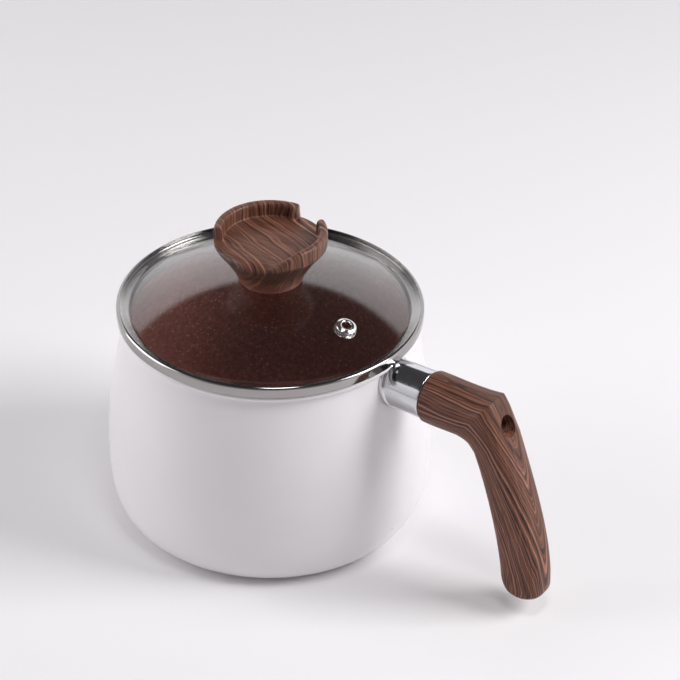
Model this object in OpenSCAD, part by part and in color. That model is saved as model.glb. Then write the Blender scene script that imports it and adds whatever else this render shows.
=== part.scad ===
// Belly-shaped saucepan with a domed glass lid and moulded wood-grain grip and knob.
// Origin: centre of the base, on the surface it stands on. +Z is up, the handle points along +X.

/* [Pan] */
// Radius of the flat base
base_r = 68; // [62:0.5:72]
// Largest radius of the belly
belly_r = 91.5; // [88:0.5:98]
// Height of the widest point of the belly
belly_z = 52; // [44:1:62]
// Outside radius of the neck, just under the lip
neck_r = 81; // [67:0.5:84]
// Height of the lip's top, coating included
rim_z = 126.5; // [112:0.5:152]
// Thickness of the cast wall
wall_t = 2.2; // [1.8:0.1:3.2]
// Thickness of the cast base
floor_t = 5; // [4:0.5:8]
// Squareness of the curve from base to belly
low_power = 3.25; // [2.4:0.05:4]
// Fullness of the curve from belly to neck
high_power = 1.41; // [1.2:0.01:2]
// How far the lip stands out from the neck
lip_out = 2.9; // [2.4:0.1:4]
// Radius of the rounded edge of the lip
lip_edge_r = 1.6; // [1.2:0.1:2]
// Thickness of the non-stick coating
coat_t = 0.4; // [0.3:0.05:0.8]

/* [Induction plate] */
// Radius of the bonded steel plate
plate_r = 58; // [40:1:60]
// Thickness of the plate
plate_t = 1.2; // [0.8:0.1:2]
// Clearance round the plate in its recess
plate_gap = 0.1; // [0.05:0.05:0.3]

/* [Handle root] */
// Height of the handle's axis
arm_z = 113; // [98:0.5:113]
// Radius of the welded boss
boss_r = 8.5; // [7:0.5:9.5]
// Radius of the boss's foot on the wall is the ferrule's bore less this
boss_foot_gap = 0.2; // [0.1:0.05:0.5]
// Length of the boss's foot from the wall
boss_foot_len = 5; // [3:0.5:7]
// Visible length of the ferrule
ferrule_len = 22.8; // [18:0.1:28]
// Outside radius of the ferrule at the pan
ferrule_r0 = 13.1; // [12.6:0.1:13.6]
// Outside radius of the ferrule at the grip
ferrule_r1 = 13.6; // [13.2:0.1:14]
// Wall of the ferrule
ferrule_wall = 1.1; // [0.8:0.1:1.4]
// Thickness of the ferrule's rolled lip along the wall
ferrule_lip_t = 2.4; // [1.6:0.1:3]
// How far the rolled lip stands out
ferrule_lip_out = 0.9; // [0.5:0.1:1.5]
// Thickness of the ring between ferrule and grip
seal_t = 0.8; // [0.5:0.1:1.5]

/* [Grip] */
// Radius of the grip where it meets the ferrule
arm_r = 14.5; // [14.2:0.1:16]
// Length of the spigot inside the ferrule
spigot_len = 6.5; // [4:0.5:8]
// Clearance round the spigot
spigot_gap = 0.1; // [0.05:0.05:0.3]
// Distance from the grip's start to the ridge of the elbow
elbow_x = 40.3; // [38:0.1:46]
// Height of the elbow's ridge over the arm's axis
elbow_up = 14.1; // [12.5:0.1:15.5]
// Distance from the grip's start to its outermost face
grip_reach = 78.2; // [72:0.2:94]
// Drop from the arm's axis to the tip
grip_drop = 101.2; // [86:0.2:107.4]
// Thickness of the lower grip, from its inner to its outer face
grip_t = 19.8; // [17:0.2:24]
// Half width of the lower grip
grip_half_w = 13.5; // [11.4:0.1:14.5]
// Half width of the grip where its rounded tip starts
grip_tip_half_w = 11.6; // [10:0.1:13]

/* [Handle screw] */
// Radius of the screw's shank
bolt_r = 2.5; // [2:0.1:3]
// Length of the shank
bolt_len = 50; // [46:1:53]
// Radius of the screw's head
bolt_head_r = 4.3; // [3.8:0.1:4.6]
// Height of the screw's head
bolt_head_h = 3.2; // [2.5:0.1:4]
// Radius of the deep access hole at the elbow
access_r = 5.7; // [4.7:0.1:7]
// Depth of thread engaged in the boss
thread_len = 10; // [7:0.5:12]
// Clearance round every screw in its hole
screw_gap = 0.05; // [0.02:0.01:0.1]
// Thickness of the flat washer
washer_t = 0.8; // [0.5:0.1:1.2]
// Thickness of each spring washer
spring_t = 1.3; // [0.8:0.1:1.6]

/* [Lid] */
// How far the lid's band stands out from the pan's lip
lid_overhang = 1.1; // [0.5:0.1:2]
// Height of the band
band_h = 6.5; // [6.3:0.1:8]
// Thickness of the band's sheet
sheet_t = 0.6; // [0.4:0.1:0.8]
// Width of the bead that holds the glass from above
bead_w = 1.8; // [1.4:0.1:2.4]
// Thickness of the glass
glass_t = 4; // [3:0.1:4.2]
// Clearance round the edge of the glass
glass_gap = 0.2; // [0.1:0.05:0.4]
// Width of the flat outer ring of the glass
glass_flat_w = 5.4; // [4:0.1:8]
// Rise of the dome over that ring
dome_h = 18.5; // [14:0.5:23]
// Clearance between the locating skirt and the coated mouth
skirt_gap = 0.5; // [0.3:0.1:1]
// Depth of the locating skirt under the flange
skirt_h = 5.4; // [4:0.2:8]
// How far the skirt leans in towards its lower edge
skirt_lean = 1.4; // [0.8:0.1:2]
// Gap left between the resting lid and the lip
lid_rest_gap = 0.1; // [0.05:0.05:0.3]

/* [Vent] */
// Distance of the vent from the lid's axis
vent_x = 55.4; // [40:0.2:62]
// Direction of the vent round the lid
vent_turn = -7; // [-180:1:180]
// Radius of the steam hole
vent_r = 2.7; // [2:0.1:3]
// Radius of the vent hole in the glass
vent_glass_r = 3.9; // [3.7:0.1:4.4]
// Radius of the eyelet's flange
eyelet_r = 5.7; // [5:0.1:6.5]
// Height of the eyelet's flange
eyelet_h = 1.5; // [1:0.1:2]
// Radius of the ring that the eyelet is clinched over
clinch_r = 6.2; // [5.6:0.1:7]
// Thickness of that ring
clinch_t = 0.8; // [0.5:0.1:1.2]

/* [Knob] */
// Radius of the knob's foot
knob_foot_r = 18; // [15:0.5:20]
// Radius of the knob's rim
knob_r = 31; // [28:0.5:34]
// Height of the knob
knob_h = 30.2; // [27:0.2:34]
// Height of the dish's floor over the foot
dish_z = 22.2; // [19:0.2:24]
// Thickness of the raised wall round the dish
knob_wall_t = 4.6; // [3.6:0.1:5.4]
// Radius of the wall's top edges
knob_edge_r = 1.5; // [1:0.1:1.7]
// Where the narrow slot in the wall starts and ends
slot_turn = [56, 94]; // [0:1:360]
// Where the wide spoon opening in the wall starts and ends
mouth_turn = [217, 300]; // [0:1:360]
// Angle over which the short wall ramps up from the spoon opening
ramp_turn = 44; // [30:1:50]
// Radius of the glass's centre hole
hub_hole_r = 5; // [4.8:0.1:6]
// Outside radius of the threaded insert
insert_r = 4.2; // [3.8:0.1:4.6]
// Length of the insert inside the knob
insert_len = 12; // [9:0.5:15]
// How far the insert reaches into the glass's hole
insert_tail = 2.5; // [1:0.1:3]
// Least thickness of the silicone ring under the knob
seat_t = 0.9; // [0.6:0.1:1.5]
// Thickness of the silicone washer under the glass
gasket_t = 1.4; // [1:0.1:2]
// Radius of the silicone washer under the glass
gasket_r = 10; // [8:0.5:12]
// Height of the cup washer
cup_h = 1.6; // [1.2:0.1:2.4]
// Length of the knob screw's shank
knob_bolt_len = 16; // [14:0.5:20]

/* [Hidden] */
$fn = 96;
EPS = 0.01;
FAR = 400;

// Curve resolution of the revolved profiles, the swept grip and the grip's rings
PROFILE_STEPS = 14;
SWEEP_STEPS = 12;
RING_POINTS = 28;

// Pan
floor_z = floor_t;
lip_r = neck_r + lip_out;
lip_top = rim_z - coat_t;
neck_z = lip_top - 2 * lip_edge_r;
inner_base_r = base_r - 2 * wall_t;
mouth_r = neck_r - wall_t - coat_t;

// Radius of the pan's outside at a height between belly and neck
function pan_r(z) = belly_r - (belly_r - neck_r) * pow((z - belly_z) / (neck_z - belly_z), high_power);

// Handle, along +X at the height arm_z
wall_x = pan_r(arm_z);
ferrule_x1 = wall_x + ferrule_len;
grip_x0 = ferrule_x1 + seal_t;
bore_r = ferrule_r0 - ferrule_wall;
spigot_r = bore_r - spigot_gap;
boss_x1 = grip_x0 - spigot_len;
bolt_hole_r = bolt_r + screw_gap;
bolt_tip_x = boss_x1 - thread_len;
bolt_seat_x = bolt_tip_x + bolt_len;
washer_seat_x = bolt_seat_x - spring_t - washer_t;
washer_r = access_r - 0.2;
spring_r = bolt_head_r + 0.1;

// Lid
lid_r = lip_r + lid_overhang;
band_z = rim_z + lid_rest_gap;
band_top = band_z + band_h;
glass_z = band_z + sheet_t;
glass_r = lid_r - sheet_t - glass_gap;
flat_top = glass_z + glass_t;
dome_edge_r = glass_r - glass_flat_w;
dome_r = (pow(dome_edge_r, 2) + pow(dome_h, 2)) / (2 * dome_h);
dome_zc = flat_top + dome_h - dome_r;
skirt_r = mouth_r - skirt_gap;
vent_tilt = asin(vent_x / dome_r);

// Knob stack, upwards and downwards from the glass
foot_glass_z = dome_zc + sqrt(pow(dome_r, 2) - pow(knob_foot_r, 2));
knob_z = max(foot_glass_z, dome_zc + dome_r - seat_t) + seat_t;
knob_top = knob_z + knob_h;
dish_r = knob_r - knob_wall_t;
cone_h = dish_z - 1;
gasket_z = dome_zc + dome_r - glass_t - gasket_t;
cup_z = gasket_z - cup_h;
knob_bolt_seat = cup_z - spring_t;
seat_hole_r = hub_hole_r + 3;

// ---------- shared shapes ----------

// Points of the curve from the base out to the belly
function low_curve(r0, r1, z0) = [
    for (i = [0:PROFILE_STEPS]) let (a = 90 * i / PROFILE_STEPS)
        [r0 + (r1 - r0) * pow(sin(a), 2 / low_power),
         z0 + (belly_z - z0) * (1 - pow(cos(a), 2 / low_power))]];

// Points of the curve from the belly in to the neck, moved in or out by d
function high_curve(d) = [
    for (i = [1:PROFILE_STEPS]) let (z = belly_z + (neck_z - belly_z) * i / PROFILE_STEPS)
        [pan_r(z) + d, z]];

// Solid bounded by the pan's outside up to the neck, grown by d
module pan_envelope(d = 0) {
    rotate_extrude()
        polygon(concat([[0, 0]], low_curve(base_r + d, belly_r + d, 0), high_curve(d),
                       [[neck_r + d, lip_top], [0, lip_top]]));
}

// Solid bounded by the inside of the wall, shrunk by d
module pan_cavity(d = 0) {
    rotate_extrude()
        polygon(concat([[0, floor_z + d]],
                       low_curve(inner_base_r - d, belly_r - wall_t - d, floor_z + d),
                       high_curve(-wall_t - d),
                       [[neck_r - wall_t - d, rim_z + 5], [0, rim_z + 5]]));
}

// Rolled lip round the pan's neck
module pan_lip() {
    rotate_extrude() union() {
        translate([lip_r - lip_edge_r, neck_z + lip_edge_r]) circle(r = lip_edge_r, $fn = 48);
        translate([neck_r - wall_t, neck_z])
            square([lip_r - lip_edge_r - neck_r + wall_t, 2 * lip_edge_r]);
    }
}

// Moves a shape built along +Z onto the handle's axis, starting at x
module on_arm(x) {
    translate([x, 0, arm_z]) rotate([0, 90, 0]) children();
}

// Moves a shape built round the dome's radius onto the vent's axis, from the dome's centre
module on_vent() {
    translate([0, 0, dome_zc]) rotate([0, 0, vent_turn]) rotate([0, vent_tilt, 0]) children();
}

// Half section of the ball whose surface is the dome, or the underside of the glass
module dome_section(r, zc = dome_zc) {
    translate([0, zc]) intersection() {
        circle(r = r, $fn = 1440);
        translate([0, -FAR]) square([FAR, 2 * FAR]);
    }
}

// Points along that surface, from radius x0 to x1
function dome_arc(r, x0, x1, zc = dome_zc) = [for (i = [0:6]) let (x = x0 + (x1 - x0) * i / 6)
    [x, zc + sqrt(r * r - x * x)]];

module ring(r_out, r_in, h) {
    difference() {
        cylinder(r = r_out, h = h);
        translate([0, 0, -1]) cylinder(r = r_in, h = h + 2);
    }
}

module split_ring(r_out, r_in, h) {
    difference() {
        ring(r_out, r_in, h);
        rotate([0, 0, 20]) translate([0, -0.4, -1]) cube([r_out + 2, 0.8, h + 2]);
    }
}

// Screw with its seat at z = 0, its shank up and its head down
module pan_head_screw(len, drive_w = 1.1) {
    difference() {
        union() {
            cylinder(r = bolt_r, h = len - 0.6);
            translate([0, 0, len - 0.6]) cylinder(r1 = bolt_r, r2 = bolt_r - 0.6, h = 0.6);
            translate([0, 0, -bolt_head_h + 0.8]) cylinder(r = bolt_head_r, h = bolt_head_h - 0.8);
            translate([0, 0, -bolt_head_h]) cylinder(r1 = bolt_head_r - 0.8, r2 = bolt_head_r, h = 0.8);
        }
        for (a = [0, 90])
            rotate([0, 0, a]) translate([-2.3, -drive_w / 2, -bolt_head_h - 1]) cube([4.6, drive_w, 2.8]);
    }
}

// ---------- pan ----------

module pot_body() {
    color([0.93, 0.92, 0.94]) difference() {
        union() {
            pan_envelope();
            pan_lip();
        }
        pan_cavity();
        translate([0, 0, -1]) cylinder(r = plate_r + plate_gap, h = plate_t + 1);
    }
}

module nonstick_lining() {
    color([0.24, 0.13, 0.12]) union() {
        difference() {
            pan_cavity();
            pan_cavity(coat_t);
            translate([-FAR / 2, -FAR / 2, lip_top]) cube([FAR, FAR, FAR]);
        }
        translate([0, 0, lip_top]) ring(lip_r - lip_edge_r, mouth_r, coat_t);
    }
}

module induction_plate() {
    color([0.72, 0.72, 0.73]) cylinder(r = plate_r, h = plate_t);
}

module handle_boss() {
    color([0.75, 0.75, 0.76]) difference() {
        union() {
            on_arm(wall_x - 12) cylinder(r = boss_r, h = boss_x1 - wall_x + 12);
            on_arm(wall_x - 12) cylinder(r = bore_r - boss_foot_gap, h = 12 + boss_foot_len);
        }
        pan_envelope();
        pan_lip();
        on_arm(bolt_tip_x - 1) cylinder(r = bolt_hole_r, h = FAR);
    }
}

// ---------- handle ----------

module ferrule() {
    color([0.82, 0.83, 0.85]) difference() {
        union() {
            on_arm(wall_x - 12) cylinder(r = ferrule_r0, h = 12 + EPS);
            on_arm(wall_x) cylinder(r1 = ferrule_r0, r2 = ferrule_r1, h = ferrule_len);
            intersection() {
                on_arm(wall_x - 12) cylinder(r = ferrule_r0 + ferrule_lip_out, h = 24);
                pan_envelope(ferrule_lip_t);
            }
        }
        pan_envelope();
        pan_lip();
        on_arm(wall_x - 20) cylinder(r = bore_r, h = FAR);
    }
}

module ferrule_seal() {
    color([0.15, 0.12, 0.11]) on_arm(ferrule_x1) ring(ferrule_r1 - 0.2, spigot_r + spigot_gap, seal_t);
}

function bez(p, t) = pow(1 - t, 3) * p[0] + 3 * pow(1 - t, 2) * t * p[1]
                     + 3 * (1 - t) * t * t * p[2] + pow(t, 3) * p[3];

// The grip's side view: control points of its outer and inner edges, measured from the
// grip's start on the arm's axis, as four stretches: arm, elbow, lower grip and tip
ridge = [elbow_x, elbow_up];
shoulder = ridge + [11.6, -20.5];
tip_out = [grip_reach, -grip_drop + 4.4];
arm_low = [elbow_x - 19.3, -arm_r + 1.8];
crook = shoulder + [-grip_t, -11.4];
tip_in = [grip_reach - grip_t - 6.2, -grip_drop + 13.3];
tip_end = [grip_reach - 14.4, -grip_drop];
OUTER_EDGE = [
    [[0, arm_r], [13, arm_r - 0.3], ridge - [15, 2.4], ridge],
    [ridge, ridge + [4.9, -6.5], shoulder + [-5.1, 8.9], shoulder],
    [shoulder, shoulder + [5.7, -15.5], tip_out + [0, 31], tip_out],
    [tip_out, tip_out + [0, -6], tip_end + [5.2, 0], tip_end + [0.5, 0]]];
INNER_EDGE = [
    [[0, -arm_r], [7, -arm_r], arm_low - [6, 0], arm_low],
    [arm_low, arm_low + [7.5, -0.9], crook + [-4.3, 4.4], crook],
    [crook, crook + [9.2, -20.3], tip_in + [-2.3, 16.6], tip_in],
    [tip_in, tip_in + [0.6, -8], tip_end + [-6, 0.4], tip_end - [0.5, 0]]];
// Half width and squareness of the section at the ends of each stretch
HALF_W = [arm_r, grip_half_w + 0.3, grip_half_w, grip_tip_half_w];
SQUARE = [2, 2.9, 2.8, 2.9];

// Half width and squareness along stretch k
function grip_w(k, t) = k < 3 ? HALF_W[k] + (HALF_W[k + 1] - HALF_W[k]) * t
                              : HALF_W[3] * sqrt(max(0.02, 1 - pow(t, 4)));
function grip_n(k, t) = k < 3 ? SQUARE[k] + (SQUARE[k + 1] - SQUARE[k]) * t : SQUARE[3];
function soft(v, n) = sign(v) * pow(abs(v), 2 / n);
function grip_ring(k, t) =
    let (o = bez(OUTER_EDGE[k], t), i = bez(INNER_EDGE[k], t), m = (o + i) / 2, h = (o - i) / 2,
         w = grip_w(k, t), n = grip_n(k, t))
    [for (j = [0:RING_POINTS - 1]) let (a = 360 * j / RING_POINTS, c = soft(cos(a), n), s = soft(sin(a), n))
        [grip_x0 + m[0] + h[0] * c, w * s, arm_z + m[1] + h[1] * c]];
function spigot_ring(x) = [for (j = [0:RING_POINTS - 1]) let (a = 360 * j / RING_POINTS)
    [x, spigot_r * sin(a), arm_z + spigot_r * cos(a)]];

module grip_body() {
    rings = concat([spigot_ring(boss_x1), spigot_ring(grip_x0)],
                   [for (k = [0:3], i = [0:SWEEP_STEPS - 1]) grip_ring(k, i / SWEEP_STEPS)],
                   [grip_ring(3, 1)]);
    last = len(rings) - 1;
    polyhedron(
        points = [for (r = rings) for (p = r) p],
        faces = concat(
            [[for (j = [0:RING_POINTS - 1]) j]],
            [for (r = [0:last - 1], j = [0:RING_POINTS - 1]) let (a = r * RING_POINTS, b = (j + 1) % RING_POINTS)
                [a + j, a + RING_POINTS + j, a + RING_POINTS + b]],
            [for (r = [0:last - 1], j = [0:RING_POINTS - 1]) let (a = r * RING_POINTS, b = (j + 1) % RING_POINTS)
                [a + j, a + RING_POINTS + b, a + b]],
            [[for (j = [RING_POINTS - 1:-1:0]) last * RING_POINTS + j]]));
}

module handle_grip() {
    color([0.42, 0.22, 0.16]) difference() {
        grip_body();
        on_arm(boss_x1 - 1) cylinder(r = bolt_r + 0.4, h = FAR);
        on_arm(washer_seat_x) cylinder(r = access_r, h = FAR);
    }
}

module handle_screw() {
    color([0.70, 0.70, 0.72]) on_arm(bolt_seat_x) rotate([180, 0, 0]) pan_head_screw(bolt_len);
}

module handle_spring_washer() {
    color([0.66, 0.66, 0.68]) on_arm(bolt_seat_x - spring_t) split_ring(spring_r, bolt_r + 0.2, spring_t);
}

module handle_flat_washer() {
    color([0.74, 0.74, 0.76]) on_arm(washer_seat_x) ring(washer_r, bolt_r + 0.2, washer_t);
}

// ---------- lid ----------

module lid_glass() {
    color([0.80, 0.88, 0.88, 0.35]) difference() {
        rotate_extrude() difference() {
            union() {
                intersection() {
                    dome_section(dome_r);
                    translate([0, glass_z]) square([dome_edge_r, dome_h + glass_t + 1]);
                }
                translate([0, glass_z]) square([glass_r, glass_t]);
            }
            dome_section(dome_r - glass_t);
        }
        cylinder(r = hub_hole_r, h = FAR);
        on_vent() cylinder(r = vent_glass_r, h = FAR);
    }
}

module lid_band() {
    color([0.80, 0.80, 0.82]) rotate_extrude() union() {
        // outer wall and the fold under it
        translate([lid_r - sheet_t, band_z + sheet_t]) square([sheet_t, flat_top - band_z]);
        translate([lid_r - sheet_t, band_z + sheet_t]) intersection() {
            circle(r = sheet_t, $fn = 32);
            translate([0, -sheet_t]) square(sheet_t + EPS);
        }
        // bead over the edge of the glass
        translate([lid_r - bead_w, flat_top]) square([bead_w, band_top - bead_w / 2 - flat_top]);
        translate([lid_r - bead_w / 2, band_top - bead_w / 2]) circle(r = bead_w / 2, $fn = 48);
        // flange under the glass
        translate([skirt_r - sheet_t, band_z]) square([lid_r - skirt_r + EPS, sheet_t]);
        // locating skirt inside the mouth
        polygon([[skirt_r, band_z + EPS], [skirt_r - sheet_t, band_z + EPS],
                 [skirt_r - sheet_t - skirt_lean, band_z - skirt_h],
                 [skirt_r - skirt_lean, band_z - skirt_h]]);
    }
}

module vent_eyelet() {
    shank_r = vent_glass_r - 0.1;
    under = dome_r - glass_t - clinch_t;
    color([0.86, 0.86, 0.88]) on_vent() difference() {
        union() {
            rotate_extrude() difference() {
                union() {
                    translate([eyelet_r - eyelet_h / 2, dome_r + eyelet_h / 2]) circle(r = eyelet_h / 2, $fn = 32);
                    translate([0, dome_r - 0.6]) square([eyelet_r - eyelet_h / 2, eyelet_h + 0.6]);
                }
                dome_section(dome_r, 0);
            }
            translate([0, 0, under - 0.4]) cylinder(r = shank_r, h = glass_t + clinch_t + 1);
            translate([0, 0, under - 0.8]) cylinder(r1 = shank_r + 0.7, r2 = shank_r + 0.9, h = 0.8);
        }
        translate([0, 0, under - 5]) cylinder(r = vent_r, h = 20);
    }
}

module vent_washer() {
    top_r = dome_r - glass_t;
    color([0.78, 0.78, 0.80]) on_vent() rotate_extrude()
        polygon(concat(dome_arc(top_r, vent_glass_r, clinch_r, 0),
                       [[clinch_r, top_r - clinch_t], [vent_glass_r, top_r - clinch_t]]));
}

// ---------- knob ----------

// Prism that fills the wall's ring between two directions, from z up
module turn_wedge(from, to, z) {
    far = 3 * knob_r;
    mid = (from + to) / 2;
    translate([0, 0, z]) linear_extrude(height = FAR)
        polygon([[0, 0], far * [cos(from), sin(from)], far * [cos(mid), sin(mid)], far * [cos(to), sin(to)]]);
}

// The knob's outline from foot to rim, as [radius, height over the foot]
function knob_cone() = [for (i = [0:PROFILE_STEPS]) let (u = i / PROFILE_STEPS)
    [knob_foot_r + (knob_r - knob_foot_r) * pow(u, 1.3), cone_h * u]];

module knob_blank() {
    rotate_extrude() difference() {
        union() {
            polygon(concat([[0, 0]], knob_cone(), [[knob_r, knob_h - knob_edge_r], [0, knob_h - knob_edge_r]]));
            translate([0, knob_h - knob_edge_r - EPS]) square([knob_r - knob_edge_r, knob_edge_r + EPS]);
            translate([knob_r - knob_edge_r, knob_h - knob_edge_r]) circle(r = knob_edge_r, $fn = 48);
        }
        difference() {
            translate([-1, dish_z]) square([dish_r + knob_edge_r + 1, knob_h]);
            translate([dish_r, dish_z - 1]) square([knob_wall_t, knob_h - dish_z + 1 - knob_edge_r]);
            translate([dish_r + knob_edge_r, knob_h - knob_edge_r]) circle(r = knob_edge_r, $fn = 48);
        }
    }
}

// Where the spoon opening's floor rolls over into the cone
module mouth_roll() {
    roll_r = 6;
    intersection() {
        turn_wedge(mouth_turn[0], mouth_turn[1], 0);
        rotate_extrude() difference() {
            translate([knob_r - 9, dish_z - roll_r]) square([12, FAR]);
            translate([knob_r - 9, dish_z - roll_r]) circle(r = roll_r, $fn = 48);
        }
    }
}

module lid_knob() {
    ramp_mid = mouth_turn[1] + ramp_turn / 2;
    ramp_len = (knob_r - knob_wall_t / 2) * ramp_turn * PI / 180;
    color([0.42, 0.22, 0.16]) translate([0, 0, knob_z]) difference() {
        knob_blank();
        turn_wedge(slot_turn[0], slot_turn[1], dish_z);
        turn_wedge(mouth_turn[0], mouth_turn[1], dish_z);
        mouth_roll();
        // ramp at the free end of the short wall
        intersection() {
            turn_wedge(mouth_turn[1] - 1, mouth_turn[1] + ramp_turn + 8, dish_z);
            rotate([0, 0, ramp_mid]) translate([0, 0, (dish_z + knob_h) / 2])
                rotate([atan((knob_h - dish_z) / ramp_len), 0, 0])
                    translate([dish_r - 8, -FAR / 2, 0]) cube([FAR, FAR, FAR]);
        }
        translate([0, 0, -1]) cylinder(r = insert_r, h = insert_len + 1);
        cylinder(r = bolt_r + 0.3, h = insert_len + 3);
    }
}

module knob_insert() {
    color([0.80, 0.62, 0.30]) translate([0, 0, knob_z - insert_tail]) difference() {
        cylinder(r = insert_r, h = insert_len + insert_tail);
        translate([0, 0, -1]) cylinder(r = bolt_hole_r, h = FAR);
    }
}

module knob_seat_ring() {
    out_r = knob_foot_r - 0.4;
    color([0.55, 0.30, 0.26]) rotate_extrude()
        polygon(concat(dome_arc(dome_r, seat_hole_r, out_r), [[out_r, knob_z], [seat_hole_r, knob_z]]));
}

module knob_gasket() {
    color([0.75, 0.75, 0.76]) rotate_extrude()
        polygon(concat(dome_arc(dome_r - glass_t, hub_hole_r, gasket_r),
                       [[gasket_r, gasket_z], [hub_hole_r, gasket_z]]));
}

module knob_cup_washer() {
    color([0.80, 0.80, 0.82]) translate([0, 0, cup_z]) rotate_extrude()
        polygon([[bolt_r + 0.2, 0], [gasket_r - 3.5, 0], [gasket_r + 0.8, cup_h], [bolt_r + 0.2, cup_h]]);
}

module knob_spring_washer() {
    color([0.66, 0.66, 0.68]) translate([0, 0, knob_bolt_seat]) split_ring(spring_r, bolt_r + 0.2, spring_t);
}

module knob_screw() {
    color([0.70, 0.70, 0.72]) translate([0, 0, knob_bolt_seat]) pan_head_screw(knob_bolt_len);
}

pot_body();
nonstick_lining();
induction_plate();
handle_boss();
ferrule();
ferrule_seal();
handle_grip();
handle_screw();
handle_spring_washer();
handle_flat_washer();
lid_glass();
lid_band();
vent_eyelet();
vent_washer();
lid_knob();
knob_insert();
knob_seat_ring();
knob_gasket();
knob_cup_washer();
knob_spring_washer();
knob_screw();
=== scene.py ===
"""Looks of a belly-shaped saucepan with a domed glass lid, a bent grip and a spoon-rest knob."""

import math

import bmesh
import bpy
from bpy.props import FloatProperty, FloatVectorProperty, IntProperty, PointerProperty
from mathutils import Matrix, Quaternion, Vector
from mathutils.kdtree import KDTree


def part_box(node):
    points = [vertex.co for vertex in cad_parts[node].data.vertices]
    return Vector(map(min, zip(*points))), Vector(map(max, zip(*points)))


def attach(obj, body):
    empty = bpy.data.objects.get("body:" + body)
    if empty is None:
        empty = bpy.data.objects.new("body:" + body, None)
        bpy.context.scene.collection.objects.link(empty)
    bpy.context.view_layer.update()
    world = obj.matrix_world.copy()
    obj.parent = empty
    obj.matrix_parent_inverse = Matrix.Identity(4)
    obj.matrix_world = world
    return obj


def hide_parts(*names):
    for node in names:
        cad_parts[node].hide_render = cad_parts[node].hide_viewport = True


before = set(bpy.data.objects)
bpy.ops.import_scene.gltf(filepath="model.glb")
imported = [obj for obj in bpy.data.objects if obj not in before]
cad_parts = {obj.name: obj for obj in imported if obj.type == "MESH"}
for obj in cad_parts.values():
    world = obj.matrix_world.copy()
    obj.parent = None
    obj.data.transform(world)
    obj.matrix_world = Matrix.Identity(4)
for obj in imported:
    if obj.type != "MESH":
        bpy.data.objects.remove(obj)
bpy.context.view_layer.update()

bl_info = {
    "name": "Saucepan with glass lid",
    "version": (1, 0, 0),
    "blender": (4, 5, 0),
    "location": "View3D > Sidebar > Saucepan",
    "description": "Models the saucepan's visible pieces round its CAD frame",
    "category": "Object",
}

LINING_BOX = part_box("nonstick_lining")
POT_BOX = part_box("pot_body")
PLATE_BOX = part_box("induction_plate")
SEAL_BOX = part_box("ferrule_seal")
GLASS_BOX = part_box("lid_glass")
BAND_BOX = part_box("lid_band")
KNOB_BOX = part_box("lid_knob")
SEAT_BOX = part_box("knob_seat_ring")
GASKET_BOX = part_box("knob_gasket")
SCREW_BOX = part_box("handle_screw")


# ---------- sizes and colours ----------

def length(name, default, description):
    return FloatProperty(name=name, default=default, description=description,
                         unit="LENGTH", subtype="DISTANCE", min=0, precision=5)


def colour(name, default, description):
    return FloatVectorProperty(name=name, default=default, description=description,
                               size=3, min=0, max=1, subtype="COLOR")


class PanLooks(bpy.types.PropertyGroup):
    """Sizes and colours of the pan"""
    belly_r: length("Belly radius", POT_BOX[1].y, "Largest radius of the pan")
    belly_z: length("Belly height", 0.052, "Height of the widest point")
    base_r: length("Base radius", 0.068, "Radius of the flat base")
    neck_r: length("Neck radius", 0.081, "Outside radius under the lip")
    lip_out: length("Lip", 0.0029, "How far the lip stands out from the neck")
    lip_edge: length("Lip edge", 0.0016, "Radius of the lip's rounded edge")
    wall: length("Wall", 0.0022, "Thickness of the cast wall")
    floor: length("Floor", 0.005, "Thickness of the cast base")
    coat: length("Coating", 0.0004, "Thickness of the non-stick coating")
    enamel: colour("Enamel", (0.78, 0.757, 0.772), "Colour of the outside")
    stone: colour("Coating colour", (0.150, 0.048, 0.037), "Ground colour of the coating")
    fleck: colour("Flecks", (0.52, 0.34, 0.28), "Colour of the coating's pale flecks")


class HandleLooks(bpy.types.PropertyGroup):
    """Sizes and colours of the ferrule and grip"""
    arm_z: length("Arm height", (SEAL_BOX[0].z + SEAL_BOX[1].z) / 2, "Height of the arm's axis")
    ferrule_r0: length("Ferrule radius", 0.0131, "Outside radius at the pan")
    ferrule_r1: length("Ferrule end radius", 0.0136, "Outside radius at the grip")
    ferrule_wall: length("Ferrule wall", 0.0011, "Thickness of the ferrule")
    arm_r: length("Arm radius", 0.0145, "Radius of the grip at the ferrule")
    ring_points: IntProperty(name="Ring points", default=72, min=24, max=160,
                             description="Points round the grip")
    dark_wood: colour("Dark grain", (0.028, 0.0115, 0.008), "Colour of the grain's dark lines")
    mid_wood: colour("Grain", (0.150, 0.056, 0.034), "Colour between the lines")
    pale_wood: colour("Pale grain", (0.36, 0.165, 0.108), "Colour of the palest grain")


class LidLooks(bpy.types.PropertyGroup):
    """Sizes and colours of the lid"""
    band_r: length("Band radius", BAND_BOX[1].x, "Outside radius of the steel band")
    sheet: length("Band sheet", 0.0006, "Thickness of the band's sheet")
    bead: length("Bead", 0.0018, "Width of the bead over the glass")
    glass_t: length("Glass", 0.004, "Thickness of the glass")
    flat_w: length("Flat ring", 0.0054, "Width of the glass's flat outer ring")
    vent_x: length("Vent distance", 0.0554, "Distance of the vent from the axis")
    vent_r: length("Vent hole", 0.0027, "Radius of the steam hole")
    tint: colour("Glass tint", (0.985, 0.995, 0.99), "Tint of the tempered glass")


class KnobLooks(bpy.types.PropertyGroup):
    """Sizes of the knob"""
    foot_r: length("Foot radius", 0.018, "Radius of the knob's foot")
    rim_r: length("Rim radius", KNOB_BOX[1].y, "Radius of the knob's rim")
    dish_h: length("Dish height", 0.0222, "Height of the dish's floor over the foot")
    wall: length("Wall", 0.0046, "Thickness of the raised wall")
    edge: length("Edge", 0.0016, "Radius of the wall's top edges")


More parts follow.
